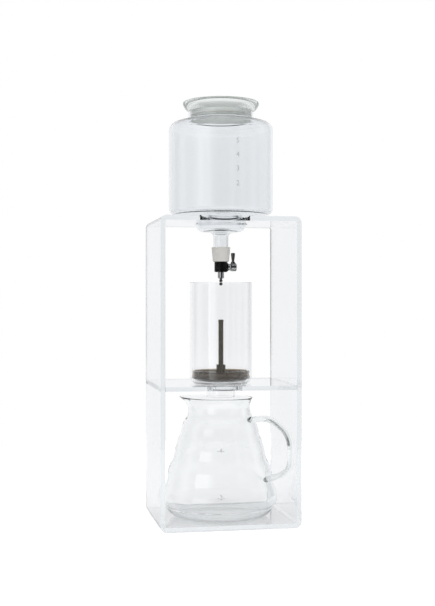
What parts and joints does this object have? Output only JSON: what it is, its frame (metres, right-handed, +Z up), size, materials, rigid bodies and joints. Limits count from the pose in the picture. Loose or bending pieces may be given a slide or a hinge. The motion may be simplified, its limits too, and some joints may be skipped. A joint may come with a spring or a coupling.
{
  "type": "cold drip coffee tower",
  "caption": "Open acrylic stand that holds a lidded glass water jar with a drip stopcock, a glass coffee column with a filter, and a ribbed glass jug with a handle.",
  "frame": {"origin": "middle of the stand's footprint, on the surface that it stands on", "axes": "+Z up through the jar, column and jug; -Y is the open front; +X is the stopcock's side"},
  "size_m": [0.16, 0.134, 0.4867],
  "materials": {
    "clear_acrylic": "clear, flame-polished edges",
    "jar_clear_glass": "clear borosilicate, fire-polished",
    "lid_plastic": "clear moulded, glossy",
    "silicone": "translucent white, satin",
    "valve_black": "black, glossy",
    "chrome_plate": "bright plated",
    "dark_plate": "dark plated, glossy",
    "white_seal": "white, matte",
    "column_clear_glass": "clear borosilicate, fire-polished",
    "smoke_plastic": "smoke brown, translucent",
    "nylon_mesh": "fine woven nylon",
    "rod_plastic": "grey brown, satin",
    "jug_clear_glass": "clear borosilicate, fire-polished"
  },
  "bodies": {
    "stand": {"stand_shell": "clear_acrylic", "middle_shelf": "clear_acrylic"},
    "jar": {"jar_glass": "jar_clear_glass", "jar_funnel": "jar_clear_glass", "outlet_stopper": "silicone", "inlet_spigot": "chrome_plate", "valve_body": "valve_black", "gland_nut": "chrome_plate", "thrust_washer": "white_seal", "nozzle": "chrome_plate", "drip_tip": "dark_plate"},
    "lid": {"jar_lid": "lid_plastic", "lid_ring": "silicone"},
    "stopcock": {"stopcock_plug": "chrome_plate", "plug_seals": "white_seal", "lever_head": "chrome_plate", "lever": "dark_plate"},
    "column": {"column_glass": "column_clear_glass"},
    "filter": {"filter_frame": "smoke_plastic", "filter_mesh": "nylon_mesh", "filter_hub": "smoke_plastic", "filter_rod": "rod_plastic", "rod_cap": "rod_plastic"},
    "jug": {"jug_body": "jug_clear_glass", "jug_handle": "jug_clear_glass"}
  },
  "joints": [
    {"name": "jar_lift", "type": "slide", "parent": "stand", "child": "jar", "axis": [0, 0, 1], "range_m": [0, 0.1]},
    {"name": "lid_lift", "type": "slide", "parent": "jar", "child": "lid", "axis": [0, 0, 1], "range_m": [0, 0.03]},
    {"name": "stopcock_turn", "type": "hinge", "parent": "jar", "child": "stopcock", "pos_m": [0, 0, 0.2948], "axis": [1, 0, 0], "range_deg": [0, 90]},
    {"name": "column_lift", "type": "slide", "parent": "stand", "child": "column", "axis": [0, 0, 1], "range_m": [0, 0.022]},
    {"name": "filter_lift", "type": "slide", "parent": "column", "child": "filter", "axis": [0, 0, 1], "range_m": [0, 0.015]},
    {"name": "jug_slide", "type": "slide", "parent": "stand", "child": "jug", "axis": [0, -1, 0], "range_m": [0, 0.2]}
  ]
}
